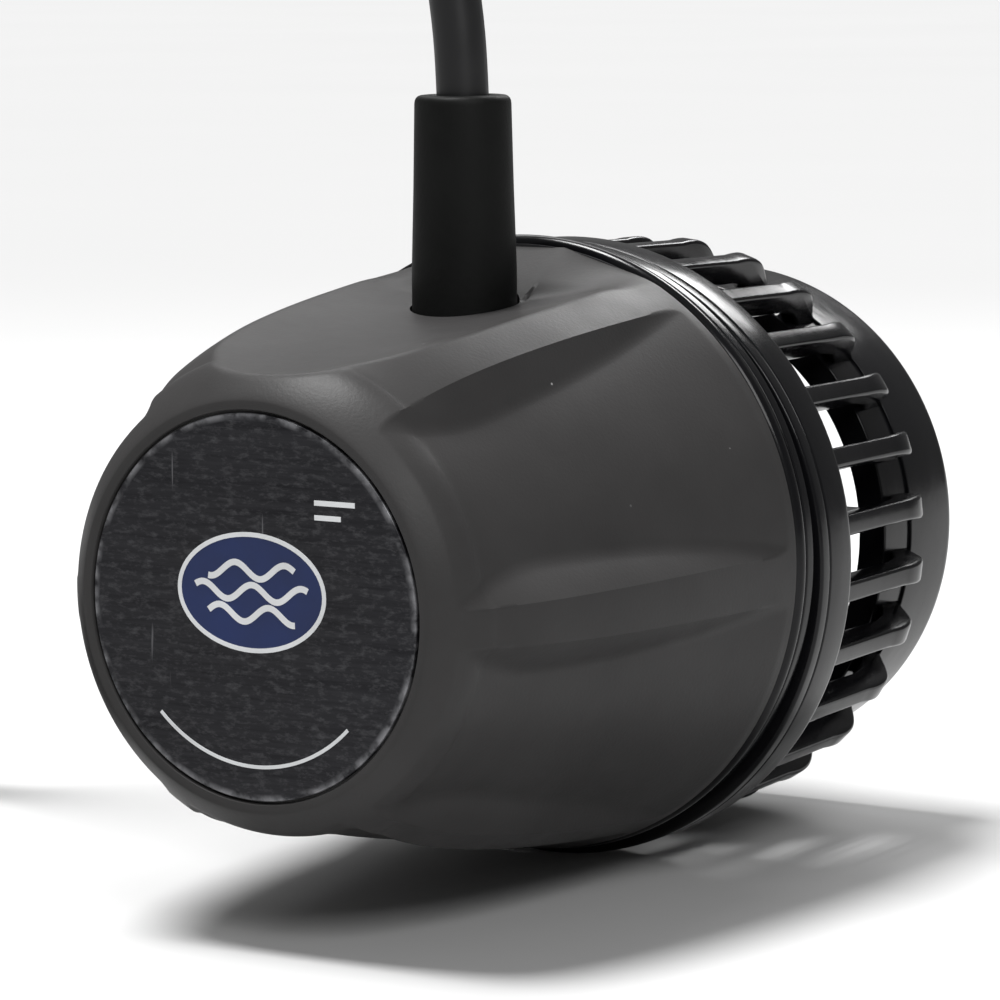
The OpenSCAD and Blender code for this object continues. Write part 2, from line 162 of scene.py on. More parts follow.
def smooth_min(a, b, k):
    """The lower of two values with a rounded corner of size k between them."""
    h = max(k - abs(a - b), 0.0) / k
    return min(a, b) - h * h * k / 4


def bezier(a, b, c, d, t):
    return tuple((1 - t) ** 3 * p + 3 * (1 - t) ** 2 * t * q + 3 * (1 - t) * t * t * r
                 + t ** 3 * s for p, q, r, s in zip(a, b, c, d))


def arc(x, y, radius, start, end, steps=10):
    """Points on an arc, angles in degrees."""
    angles = [math.radians(lerp(start, end, k / steps)) for k in range(steps + 1)]
    return [(x + radius * math.cos(a), y + radius * math.sin(a)) for a in angles]


def eased(corners, steps=5):
    """A closed outline from corners (x, y) or (x, y, size), each eased over its size."""
    out = []
    for i, corner in enumerate(corners):
        here = Vector(corner[:2])
        if len(corner) == 2:
            out.append(tuple(here))
            continue
        before = Vector(corners[i - 1][:2]) - here
        after = Vector(corners[(i + 1) % len(corners)][:2]) - here
        first = before.normalized() * min(corner[2], 0.5 * before.length)
        last = after.normalized() * min(corner[2], 0.5 * after.length)
        for k in range(steps + 1):
            t = k / steps
            out.append(tuple(here + first * (1 - t) ** 2 + last * t * t))
    return out


def inset(outline, distance):
    """The outline moved inwards. It runs counter-clockwise."""
    out = []
    for i, (x, y) in enumerate(outline):
        before, after = outline[i - 1], outline[(i + 1) % len(outline)]
        along = Vector((after[0] - before[0], after[1] - before[1])).normalized()
        out.append((x - along.y * distance, y + along.x * distance))
    return out


def bridge(a, b):
    """Faces between two rings of equal size, or between a ring and a pole."""
    if len(a) == 1 and len(b) == 1:
        return []
    n = max(len(a), len(b))
    if len(a) == 1:
        return [(a[0], b[(k + 1) % n], b[k]) for k in range(n)]
    if len(b) == 1:
        return [(a[k], a[(k + 1) % n], b[0]) for k in range(n)]
    return [(a[k], a[(k + 1) % n], b[(k + 1) % n], b[k]) for k in range(n)]


def skin(name, rings, closed=False, capped=False):
    """A surface over rings of points, closed into a loop or capped at its two ends."""
    points, numbers = [], []
    for ring in rings:
        numbers.append(list(range(len(points), len(points) + len(ring))))
        points += ring
    faces = []
    for a, b in zip(numbers, numbers[1:]):
        faces += bridge(a, b)
    if closed:
        faces += bridge(numbers[-1], numbers[0])
    if capped:
        faces += [tuple(numbers[0][::-1]), tuple(numbers[-1])]
    return make_object(name, points, faces)


def around_y(z=0.0):
    """Places (radius, height, angle) around an axis along +Y at height z."""
    return lambda radius, height, a: (radius * math.sin(a), height, z + radius * math.cos(a))


def around_boot(radius, height, a):
    return radius * math.cos(a), BOOT_Y + radius * math.sin(a), height


POLE_R = 1e-6                         # below this radius a ring is one point on the axis


def lathe(name, outline, at, segments=192):
    """A solid of revolution from a closed outline of (radius, height)."""
    rings = []
    for radius, height in outline:
        count = 1 if radius < POLE_R else segments
        rings.append([at(radius, height, 2 * math.pi * k / segments) for k in range(count)])
    return skin(name, rings, closed=True)


def thick(name, outline, half, edge, at):
    """A plate of an outline, half its thickness each way, with rounded edges.

    at(x, y, across) gives the point.
    """
    rings = []
    for share, depth in ((-1, 1), (-0.94, 0.45), (-0.8, 0.12), (-0.6, 0),
                         (0.6, 0), (0.8, 0.12), (0.94, 0.45), (1, 1)):
        rings.append([at(x, y, share * half) for x, y in inset(outline, depth * edge)])
    return skin(name, rings, capped=True)


def boolean(obj, operation, others):
    """Joins the others' solids to obj or takes them away from it, and deletes the others."""
    for other in others:
        modifier = obj.modifiers.new("boolean", "BOOLEAN")
        modifier.operation = operation
        modifier.solver = "EXACT"
        modifier.object = other
    bpy.context.view_layer.update()
    graph = bpy.context.evaluated_depsgraph_get()
    mesh = bpy.data.meshes.new_from_object(obj.evaluated_get(graph))
    obj.modifiers.clear()
    old = obj.data
    obj.data = mesh
    bpy.data.meshes.remove(old)
    for other in others:
        bpy.data.objects.remove(other)
    smooth(mesh)


def join(name, objects):
    """One piece from several meshes."""
    work = bmesh.new()
    for obj in objects:
        work.from_mesh(obj.data)
    mesh = bpy.data.meshes.new(name)
    work.to_mesh(mesh)
    work.free()
    for obj in objects:
        bpy.data.objects.remove(obj)
    smooth(mesh)
    joined = bpy.data.objects.new(name, mesh)
    bpy.context.scene.collection.objects.link(joined)
    return joined


def rod(x, z, radius, y0, y1, sides=64):
    """A round cutter along Y."""
    rings = [[(x + radius * math.cos(2 * math.pi * k / sides), y,
               z + radius * math.sin(2 * math.pi * k / sides)) for k in range(sides)]
             for y in (y0, y1)]
    return skin("cutter", rings, capped=True)


def rods(count, start, circle, z, radius, y0, y1):
    """Round cutters on a circle, counted from the top towards +X from an angle in degrees."""
    angles = [math.radians(start + k * 360 / count) for k in range(count)]
    return [rod(circle * math.sin(a), z + circle * math.cos(a), radius, y0, y1) for a in angles]


def sector(middle, width, r0, r1, y0, y1, z, steps=10):
    """A piece of a ring: its middle angle and its width in degrees."""
    rings = []
    for k in range(steps + 1):
        a = math.radians(middle + width * (k / steps - 0.5))
        rings.append([around_y(z)(r, y, a) for r, y in ((r0, y0), (r1, y0), (r1, y1), (r0, y1))])
    return skin("sector", rings, capped=True)


# ---- materials ----------------------------------------------------------------------


class Shader:
    """A short way to wire a procedural material."""

    def __init__(self, name):
        self.material = bpy.data.materials.new(name)
        self.material.use_nodes = True
        self.nodes = self.material.node_tree.nodes
        self.links = self.material.node_tree.links
        self.base = self.nodes["Principled BSDF"]
        self.place = self.nodes.new("ShaderNodeTexCoord").outputs["Object"]

    def set(self, **values):
        for key, value in values.items():
            socket = self.base.inputs[key.replace("_", " ")]
            if hasattr(value, "links"):
                self.links.new(value, socket)
            else:
                socket.default_value = value

    def stretched(self, x, y, z):
        """Object coordinates in metres times a scale on each axis."""
        node = self.nodes.new("ShaderNodeMapping")
        node.inputs["Scale"].default_value = (x, y, z)
        self.links.new(self.place, node.inputs["Vector"])
        return node.outputs["Vector"]

    def noise(self, scale, detail=3.0, rough=0.55, vector=None):
        """Noise from 0 to 1. The scale is in waves per metre."""
        node = self.nodes.new("ShaderNodeTexNoise")
        node.inputs["Scale"].default_value = scale
        node.inputs["Detail"].default_value = detail
        node.inputs["Roughness"].default_value = rough
        self.links.new(vector or self.place, node.inputs["Vector"])
        return node.outputs["Fac"]

    def spots(self, scale):
        """Distance from the nearest of many scattered points, in parts of their spacing."""
        node = self.nodes.new("ShaderNodeTexVoronoi")
        node.inputs["Scale"].default_value = scale
        self.links.new(self.place, node.inputs["Vector"])
        return node.outputs["Distance"]

    def remap(self, value, low, high, out_low=0.0, out_high=1.0):
        node = self.nodes.new("ShaderNodeMapRange")
        for key, number in zip(("From Min", "From Max", "To Min", "To Max"),
                               (low, high, out_low, out_high)):
            node.inputs[key].default_value = number
        self.links.new(value, node.inputs["Value"])
        return node.outputs["Result"]

    def math(self, operation, a, b=0.0):
        node = self.nodes.new("ShaderNodeMath")
        node.operation = operation
        for socket, value in zip(node.inputs, (a, b)):
            if hasattr(value, "links"):
                self.links.new(value, socket)
            else:
                socket.default_value = value
        return node.outputs["Value"]

    def mix(self, factor, a, b):
        """A colour between two colours or sockets."""
        node = self.nodes.new("ShaderNodeMix")
        node.data_type = "RGBA"
        for key, value in ((0, factor), (6, a), (7, b)):
            if hasattr(value, "links"):
                self.links.new(value, node.inputs[key])
            elif key == 0:
                node.inputs[key].default_value = value
            else:
                node.inputs[key].default_value = (*value, 1)
        return node.outputs[2]

    def bump(self, height, strength, distance):
        """Raises the surface by a height map. The distance is in metres."""
        node = self.nodes.new("ShaderNodeBump")
        node.inputs["Strength"].default_value = strength
        node.inputs["Distance"].default_value = distance
        self.links.new(height, node.inputs["Height"])
        self.links.new(node.outputs["Normal"], self.base.inputs["Normal"])

    def axes(self):
        """Object coordinates X, Y and Z in metres."""
        node = self.nodes.new("ShaderNodeSeparateXYZ")
        self.links.new(self.place, node.inputs["Vector"])
        return node.outputs


def soft_touch_plastic(name, colour, rough, grain=2600, specks=True):
    """Matt moulded plastic with a fine spark-eroded grain and a little dust."""
    s = Shader(name)
    cloud = s.remap(s.noise(60, 4), 0.3, 0.7)
    dark = tuple(c * 0.86 for c in colour)
    light = tuple(c * 1.12 for c in colour)
    tone = s.mix(cloud, dark, light)
    if specks:
        dust = s.remap(s.spots(190), 0.030, 0.022)
        patch = s.remap(s.noise(34, 2), 0.56, 0.60)
        tone = s.mix(s.math("MULTIPLY", s.math("MULTIPLY", dust, patch), 0.55),
                     tone, (0.5, 0.5, 0.5))
    s.set(Base_Color=tone, Roughness=s.remap(s.noise(140, 5), 0.3, 0.7, rough - 0.05, rough + 0.05),
          Specular_IOR_Level=0.12)
    s.bump(s.noise(grain, 4, 0.6), 0.35, 0.00006)
    return s.material


def gloss_plastic(name, colour, rough):
    """Polished black plastic with faint smears and moulding waviness."""
    s = Shader(name)
    smear = s.noise(90, 6, 0.65, s.stretched(1, 3, 1))
    s.set(Base_Color=s.mix(s.remap(s.noise(45, 3), 0.35, 0.65), colour,
                           tuple(c * 1.5 for c in colour)),
          Roughness=s.remap(smear, 0.3, 0.75, rough, rough + 0.16),
          Specular_IOR_Level=0.2)
    s.bump(s.noise(260, 2), 0.12, 0.0002)
    return s.material


def rubber(name, colour, rough):
    """Matt rubber with a dusty bloom and a pitted skin."""
    s = Shader(name)
    bloom = s.remap(s.noise(110, 6, 0.7), 0.35, 0.75)
    s.set(Base_Color=s.mix(bloom, colour, tuple(c * 1.6 for c in colour)),
          Roughness=s.remap(bloom, 0, 1, rough, rough + 0.14), Specular_IOR_Level=0.1)
    s.bump(s.noise(1900, 5, 0.65), 0.4, 0.00008)
    return s.material


def brushed_metal(name, colour, rough=0.28, along=(30, 1200, 1200)):
    """Metal with fine lines along one axis."""
    s = Shader(name)
    lines = s.noise(1.0, 5, 0.7, s.stretched(*along))
    s.set(Base_Color=s.mix(s.remap(lines, 0.3, 0.7), tuple(c * 0.78 for c in colour), colour),
          Metallic=1.0, Roughness=s.remap(lines, 0.3, 0.7, rough, rough + 0.15))
    s.bump(lines, 0.18, 0.00003)
    return s.material


def smooth_coated(name, colour, rough, variation):
    """Paint, ceramic, lacquer or jacket: a slight mottle and a fine skin."""
    s = Shader(name)
    mottle = s.remap(s.noise(150, 4), 0.3, 0.7)
    s.set(Base_Color=s.mix(mottle, colour, tuple(min(c * variation, 1) for c in colour)),
          Roughness=s.remap(mottle, 0, 1, rough, rough + 0.1), Specular_IOR_Level=0.3)
    s.bump(s.noise(900, 4), 0.15, 0.00004)
    return s.material


def badge_metal(name):
    """Dark lacquered metal: fine brushing, mottled wear, a few scratches, a bright rubbed edge."""
    s = Shader(name)
    lines = s.noise(1.0, 5, 0.7, s.stretched(80, 80, 1700))
    mottle = s.remap(s.noise(1.0, 6, 0.75, s.stretched(600, 900, 1500)), 0.50, 0.72)
    scratch = s.remap(s.noise(1.0, 2, 0.5, s.stretched(900, 900, 45)), 0.705, 0.725)
    axes = s.axes()
    x, z = axes["X"], axes["Z"]
    radius = s.math("SQRT", s.math("ADD", s.math("MULTIPLY", x, x), s.math("MULTIPLY", z, z)))
    edge = s.math("MULTIPLY", s.remap(radius, 0.0180, 0.0186), s.remap(s.noise(420, 4), 0.4, 0.6))
    worn = s.math("MAXIMUM", s.math("MAXIMUM", s.math("MULTIPLY", mottle, 0.25),
                                    s.math("MULTIPLY", scratch, 0.45)), edge)
    tone = s.mix(s.remap(lines, 0.3, 0.7), (0.012, 0.012, 0.014), (0.028, 0.028, 0.031))
    s.set(Base_Color=s.mix(worn, tone, (0.20, 0.20, 0.21)), Metallic=0.5,
          Specular_IOR_Level=0.15, Roughness=s.remap(lines, 0.3, 0.7, 0.36, 0.52))
    s.bump(lines, 0.2, 0.00003)
    return s.material


HOUSING = soft_touch_plastic("housing_plastic", (0.034, 0.033, 0.033), 0.42)
GLOSS = gloss_plastic("gloss_black", (0.003, 0.003, 0.0035), 0.13)
BOOT = rubber("boot_rubber", (0.0045, 0.0047, 0.0045), 0.50)
PAD = rubber("pad_rubber", (0.02, 0.02, 0.021), 0.7)
JACKET = smooth_coated("cord_jacket", (0.0075, 0.0075, 0.008), 0.34, 1.4)
CONNECTOR = soft_touch_plastic("connector_plastic", (0.018, 0.018, 0.019), 0.45, 2000, False)
CARRIER = soft_touch_plastic("propeller_plastic", (0.02, 0.02, 0.022), 0.38, 1500, False)
STRAP = rubber("tie_strap", (0.02, 0.02, 0.022), 0.85)
BADGE = badge_metal("badge_metal")
PATCH = smooth_coated("badge_blue", (0.006, 0.014, 0.060), 0.4, 1.5)
PRINT = smooth_coated("badge_white", (0.55, 0.56, 0.57), 0.5, 1.2)
STEEL = brushed_metal("steel", (0.55, 0.56, 0.58))
NICKEL = brushed_metal("nickel", (0.68, 0.67, 0.64), 0.2)
GOLD = brushed_metal("gold", (0.80, 0.58, 0.24), 0.22)
ALLOY = brushed_metal("cast_alloy", (0.42, 0.42, 0.43), 0.45, (500, 500, 500))
IRON = brushed_metal("stator_iron", (0.28, 0.28, 0.30), 0.4, (60, 2400, 60))
COPPER = brushed_metal("copper", (0.62, 0.27, 0.12), 0.3, (200, 200, 2200))
BOARD = smooth_coated("board_green", (0.015, 0.09, 0.035), 0.35, 1.6)
CHIP = smooth_coated("chip_black", (0.02, 0.02, 0.022), 0.5, 1.5)
LEAD = smooth_coated("lead_insulation", (0.35, 0.03, 0.02), 0.4, 1.2)
CERAMIC = smooth_coated("ceramic", (0.72, 0.71, 0.66), 0.3, 1.1)

# ---- cord ---------------------------------------------------------------------------

COIL_X = (COIL_LOW.x + COIL_HIGH.x) / 2
COIL_Y = (COIL_LOW.y + COIL_HIGH.y) / 2
COIL_OUT_R = (COIL_HIGH.x - COIL_LOW.x) / 2 - CORD_D / 2   # centreline of the outermost turn
LAYERS = 4
TURNS = 9.5
LAYER_WIDTH = 13.0                                         # between innermost and outermost
BOTTOM_Z = COIL_LOW.z + CORD_D / 2
TOP_Z = COIL_HIGH.z - CORD_D / 2
POINTS_PER_TURN = 20
PLUG_X = RELIEF_LOW.x
PLUG_Y = (RELIEF_LOW.y + RELIEF_HIGH.y) / 2
PLUG_Z = (RELIEF_LOW.z + RELIEF_HIGH.z) / 2
LAY_Z = FLOOR_Z + CORD_D / 2

# The route of the CAD's cord.
ROUTE = [
    (0, BOOT_Y, 24), (0, BOOT_Y, 47), (-0.8, BOOT_Y, 57), (-4, BOOT_Y, 72), (-16, -14, 89),
    (-37, -10, 97), (-58, -6.5, 91), (-71, -4.5, 74), (-75, -4, 54), (-75.5, -4, 30),
    (-75.5, -4, 6), (-78.2, -4, -4), (-85.5, -4, -11.3),
]
TAIL = [(-88, PLUG_Y, LAY_Z + 1.4), (-81, PLUG_Y, PLUG_Z - 0.6), (PLUG_X, PLUG_Y, PLUG_Z)]


def coil_turns():
    """The coil's centreline: in at the top of its +Y side, out at the bottom of its -Y side.

    Each layer runs across the winding, inwards and outwards in turn.
    """
    points = []
    count = int(TURNS * POINTS_PER_TURN)
    for k in range(count + 1):
        along = LAYERS * k / count
        inwards = 1 - abs(along % 2 - 1)
        radius = COIL_OUT_R - LAYER_WIDTH * inwards
        down = sum(smoothstep(b - 0.07, b + 0.07, along) for b in range(1, LAYERS))
        a = math.radians(90 + 360 * k / POINTS_PER_TURN)
        points.append((COIL_X + radius * math.cos(a), COIL_Y + radius * math.sin(a),
                       lerp(TOP_Z, BOTTOM_Z, down / (LAYERS - 1))))
    return points


def make_cord():
    curve = bpy.data.curves.new("cord", "CURVE")
    curve.dimensions = "3D"
    curve.bevel_depth = 1.0
    curve.bevel_resolution = 6
    curve.resolution_u = 6
    curve.use_fill_caps = True
    spline = curve.splines.new("BEZIER")
    route = ROUTE + coil_turns() + TAIL
    spline.bezier_points.add(len(route) - 1)
    for point, where in zip(spline.bezier_points, route):
        point.co = Vector(where) * MM
        point.radius = CORD_D / 2 * MM
        point.handle_left_type = point.handle_right_type = "AUTO"
    obj = bpy.data.objects.new("cord_lead", curve)
    bpy.context.scene.collection.objects.link(obj)
    return place(obj, "dry_side", "cord_jacket", JACKET, "cord", "cord_coil")


def make_strap():
    """A hook-and-loop strap around the winding, with its end lapped over on the outside."""
    middle_x, middle_z = (TIE_LOW.x + TIE_HIGH.x) / 2, (TIE_LOW.z + TIE_HIGH.z) / 2
    half_x, half_z = (TIE_HIGH.x - TIE_LOW.x) / 2, (TIE_HIGH.z - TIE_LOW.z) / 2
    half_y = (TIE_HIGH.y - TIE_LOW.y) / 2

    def loop(shrink, y):
        x, z, size = half_x - shrink, half_z - shrink, 3.4 - shrink
        corners = [(-x, -z, size), (x, -z, size), (x, z, size), (-x, z, size)]
        return [(middle_x + px, COIL_Y + y, middle_z + pz) for px, pz in eased(corners, 8)]

    band = skin("band", [loop(0.95, -half_y), loop(0.45, -half_y), loop(0.35, -half_y + 0.15),
                         loop(0.35, half_y - 0.15), loop(0.45, half_y), loop(0.95, half_y)],
                closed=True)
    outline = eased([(-half_y, -7, 1), (half_y, -7, 1), (half_y, 7, 3), (-half_y, 7, 3)])
    lap = thick("lap", outline, 0.22, 0.15,
                lambda x, y, across: (TIE_HIGH.x - 0.23 + across, COIL_Y + x, middle_z + y))
    return place(join("cord_strap", [band, lap]), "dry_side", "tie_strap", STRAP, "cord_tie")


cord = make_cord()
strap = make_strap()

# ---- motor housing ------------------------------------------------------------------

COLUMNS = 720
SHOULDER = (24.2, -49.2)              # where the long curve meets the front edge
FRONT_R = 19.9                        # radius of the flat front
GROOVES = (62, 122, 180, 238, 298)
GROOVE_HALF = 25.5                    # half width of a thumb groove, degrees
GROOVE_DEPTH = 2.8
GROOVE_WALL = 0.75                    # slope of a groove's walls
GROOVE_SOFT = 0.7                     # how softly a wall meets the groove's floor
GROOVE_PEAK = -40.2                   # where the grooves are deepest
GROOVE_ENDS = (-52.7, -5.7)
TROUGH_Z = 25.9                       # the trough's floor at the boot
TROUGH_SLOPE = math.tan(math.radians(5.7))
TROUGH_CURVE = 120
RAMP_Y = -13.0                        # where the ramp behind the boot begins
RAMP_Z = 31.5
RAMP_HALF = 5.0
CREST = math.radians(28)
TROUGH_FACING = 0.7                   # cosine of the angle from the top that it reaches
RIM_EASE = 0.25                       # rounding of the rim
CEILING = 2.3                         # wall between the trough and the cavity
RECESS_R = 19.0                       # the badge's recess
POCKET_R = 5.62                       # the strain relief's pocket
CAVITY = [(19.2, FRONT_Y + 2.6), (21.2, -50), (22.5, -44), (23.8, -38), (25.8, -28),
          (27.6, -18), (28.8, -10), (29.4, RIM_Y)]


def housing_rows():
    """(radius, y) down the ridge between two grooves, from the rim to the flat front."""
    long = ((HOUSING_R, RIM_Y), (29.4, -43.2), (24.6, -47.2), SHOULDER)
    end = (SHOULDER, (23.7, -51.7), (20.3, FRONT_Y), (FRONT_R, FRONT_Y))
    rows = [bezier(*long, (k / 110) ** 1.6) for k in range(111)]
    return rows + [bezier(*end, k / 24) for k in range(1, 25)]


def groove_depth(degrees, y, ridge):
    """How deep the thumb grooves are: a long lens with sloping walls and a flat floor."""
    end = GROOVE_ENDS[0] if y < GROOVE_PEAK else GROOVE_ENDS[1]
    lens = 1 - ((y - GROOVE_PEAK) / (end - GROOVE_PEAK)) ** 2
    inside = GROOVE_HALF - min(abs(degrees - c) for c in GROOVES)
    if lens <= 0 or inside <= 0:
        return 0.0
    wall = GROOVE_WALL * math.radians(inside) * ridge
    return max(0.0, smooth_min(GROOVE_DEPTH * lens, wall, GROOVE_SOFT))


def trough_top(x, y, ridge):
    """Height of the trough's surface, and of the ramp behind the boot."""
    def floor(at_y, at_x):
        return TROUGH_Z + (at_y - BOOT_Y) * TROUGH_SLOPE + at_x * at_x / TROUGH_CURVE
    if y <= RAMP_Y:
        return floor(y, x)
    share = (y - RAMP_Y) / (RIM_Y - RAMP_Y)
    middle = lerp(floor(RAMP_Y, min(abs(x), RAMP_HALF)), RAMP_Z, share)
    if abs(x) <= RAMP_HALF:
        return middle
    crest_x, crest_z = ridge * math.sin(CREST), ridge * math.cos(CREST)
    line = lerp(middle, crest_z, (abs(x) - RAMP_HALF) / (crest_x - RAMP_HALF))
    return lerp(floor(y, x), line, min(1, share * 3))


def housing_radius(degrees, y, ridge):
    radius = ridge - groove_depth(degrees, y, ridge)
    a = math.radians(degrees)
    if math.cos(a) > TROUGH_FACING:
        top = radius
        for _ in range(8):
            top = trough_top(top * math.sin(a), y, ridge) / math.cos(a)
        radius = smooth_min(radius, top, 0.4)
    edge = max(0.0, RIM_EASE - (RIM_Y - y))
    return radius - edge * edge / RIM_EASE


def make_housing():
    """The outer shell, the badge's recess and the cavity as one closed skin."""
    angles = [360 * k / COLUMNS for k in range(COLUMNS)]
    at = around_y()
    rows = housing_rows()
    outer = [[at(housing_radius(d, y, r), y, math.radians(d)) for d in angles] for r, y in rows]

    def inner(radius, y):
        ceiling = TROUGH_Z - CEILING + (y - BOOT_Y) * TROUGH_SLOPE
        return [at(min(radius, ceiling / max(math.cos(math.radians(d)), 0.1)), y,
                   math.radians(d)) for d in angles]

    def ring(radius, y):
        return [at(radius, y, math.radians(d)) for d in angles]

    floor_y = CAVITY[0][1]
    rings = [[(0, floor_y, 0)], *(inner(r, y) for r, y in CAVITY), *outer,
             ring(RECESS_R + 0.4, FRONT_Y), ring(RECESS_R + 0.12, FRONT_Y + 0.08),
             ring(RECESS_R, FRONT_Y + 0.3), ring(RECESS_R, PLATE_HIGH.y), [(0, PLATE_HIGH.y, 0)]]
    shell = skin("housing_shell", rings)
    pocket = lathe("pocket", [(0, BOOT_FOOT_Z), (POCKET_R, BOOT_FOOT_Z), (POCKET_R, 40), (0, 40)],
                   around_boot, 96)
    boolean(shell, "DIFFERENCE", [pocket])
    place(shell, "dry_side", "housing_plastic", HOUSING, "motor_housing")


make_housing()

# ---- badge --------------------------------------------------------------------------

BADGE_Y = PLATE_LOW.y
PRINT_RISE = 0.05                     # how far the printed sign stands proud
PRINT_ROOT = 0.05                     # how far it reaches into the plate
PATCH_RISE = 0.02
PATCH_HALF = (8.4, 5.6)               # half axes of the blue ellipse
PATCH_Z = 1.5
WAVES = ((3.6, 20), (1.5, 26), (-0.6, 20))    # height, and points either side of the middle
WAVE_STEP = 0.25
WAVE_HEIGHT = 0.75
WAVE_PITCH = 1.1                      # radians per millimetre


def ribbon(name, line, width, closed=False):
    """A thin raised line in the badge's plane through points (x, z)."""
    rings = []
    for i, (x, z) in enumerate(line):
        before = line[i - 1] if i or closed else line[i]
        after = line[(i + 1) % len(line)] if i + 1 < len(line) or closed else line[i]
        along = Vector((after[0] - before[0], after[1] - before[1])).normalized()
        side = Vector((-along.y, along.x)) * width / 2
        rings.append([(x + s * side.x, y, z + s * side.y)
                      for s, y in ((-1, BADGE_Y + PRINT_ROOT), (1, BADGE_Y + PRINT_ROOT),
                                   (1, BADGE_Y - PRINT_RISE), (-1, BADGE_Y - PRINT_RISE))])
    return skin(name, rings, closed=closed, capped=not closed)


def make_badge():
    r, back = BADGE_R, PLATE_HIGH.y
    plate = lathe("badge_disc", eased([(0, BADGE_Y), (r, BADGE_Y, 0.2), (r, back), (0, back)]),
                  around_y())
    place(plate, "dry_side", "badge_metal", BADGE, "badge_plate")
    ellipse = [(PATCH_HALF[0] * math.cos(a), PATCH_Z + PATCH_HALF[1] * math.sin(a))
               for a in (2 * math.pi * k / 64 for k in range(64))]
    rings = [[(x, y, z) for x, z in ellipse]
             for y in (BADGE_Y + PRINT_ROOT, BADGE_Y - PATCH_RISE)]
    patch = skin("badge_patch", rings, capped=True)
    place(patch, "dry_side", "badge_metal", PATCH)
    waves = []
    for level, reach in WAVES:
        places = [k * WAVE_STEP for k in range(-reach, reach + 1)]
        line = [(x, level + WAVE_HEIGHT * math.sin(x * WAVE_PITCH + level)) for x in places]
        waves.append(ribbon("wave", line, 0.62))
    lines = waves + [
        ribbon("rim", ellipse, 0.45, closed=True),
        ribbon("arc", arc(0, 0, 15.4, 225, 315, 40), 0.35),
        ribbon("rule", [(7.4, 10.6), (12.0, 10.6)], 0.5),
        ribbon("rule", [(7.4, 9.2), (10.4, 9.2)], 0.5),
    ]
    place(join("badge_sign", lines), "dry_side", "badge_metal", PRINT)


make_badge()

# ---- glass cover and strain relief --------------------------------------------------

COVER_R = COVER_HIGH.x                # over the bead
FACE_R = HOUSING_R                    # over the flat band beside it
SCREW_CIRCLE = 25.8
SCREW_HEAD_R = 2.9
SCREW_SEAT_Y = -1.6
PAD_CIRCLE = 23.0
PAD_POCKET_R = 5.06


def make_cover():
    bead = arc(COVER_R - 1, RIM_Y + 1, 1, -90, 62, 12)
    inside = RIM_Y + 1.6
    outline = [(0, inside), (29, inside), (29.2, RIM_Y), *bead,
               *eased([(FACE_R - 0.05, RIM_Y + 2.2, 0.25), (FACE_R, -0.75, 0.1),
                       (FACE_R - 0.3, COVER_HIGH.y, 0.3), (0, COVER_HIGH.y)])]
    cover = lathe("glass_cover", outline, around_y())
    screws = rods(4, 45, SCREW_CIRCLE, 0, SCREW_HEAD_R, SCREW_SEAT_Y, 1)
    pads = rods(4, 0, PAD_CIRCLE, 0, PAD_POCKET_R, PAD_Y, 1)
    boolean(cover, "DIFFERENCE", screws + pads)
    place(cover, "dry_side", "gloss_black", GLOSS, "face_cover")


def make_boot():
    foot, top = BOOT_FOOT_Z, BOOT_HIGH.z
    outline = eased([(2.8, foot), (5.38, foot), (5.36, 30), (5.12, 38), (4.92, top, 0.9),
                     (3.1, top, 0.25), (2.8, top - 0.4)])
    boot = lathe("boot", outline, around_boot, 128)
    place(boot, "dry_side", "soft_rubber", BOOT, "strain_relief")


make_cover()
make_boot()

# ---- wet side's base ----------------------------------------------------------------

WALL_IN = 27.0                        # the bayonet wall
WALL_OUT = 28.6
LUG_R = 29.6
LUG_Y = (4.4, 5.8)
LUG_WIDTH = 11.7                      # degrees
BASE_TOP = 2.0
BUSH_R = 3.0
BUSH_SEAT_Y = 1.2
BOSS_TOP = 3.6


def make_base():
    y0 = BASE_LOW.y
    outline = eased([(0, y0), (WET_R, y0, 0.4), (WET_R, BASE_TOP, 0.3), (WALL_OUT, BASE_TOP),
                     (WALL_OUT, BASE_HIGH.y, 0.25), (WALL_IN, BASE_HIGH.y, 0.25),
                     (WALL_IN, BASE_TOP), (4.6, BASE_TOP), (4.6, BOSS_TOP, 0.3), (0, BOSS_TOP)])
    base = lathe("wet_disc", outline, around_y(WET_Z))
    lugs = [sector(k * 90, LUG_WIDTH, WALL_OUT - 0.4, LUG_R, *LUG_Y, WET_Z) for k in range(4)]
    boolean(base, "UNION", lugs)
    pads = rods(4, 0, PAD_CIRCLE, WET_Z, PAD_POCKET_R, -1, WET_PAD_Y)
    boolean(base, "DIFFERENCE", pads + [rod(0, WET_Z, BUSH_R, BUSH_SEAT_Y, BOSS_TOP + 1)])
    place(base, "wet_side", "gloss_black", GLOSS, "wet_base")


make_base()

# ---- magnet carrier and propeller ---------------------------------------------------

SHAFT_R = 1.5
HUB_R = 5.0
SPOKES = 12
BLADES = 3
BLADE_R = 20.5
BLADE_Y = (12.0, 30.0)


def turned(degrees, z):
    """Places (radius, y, across) in a plane through the axis at an angle from the top."""
    a = math.radians(degrees)
    return lambda radius, y, across: (radius * math.sin(a) + across * math.cos(a), y,
                                      z + radius * math.cos(a) - across * math.sin(a))


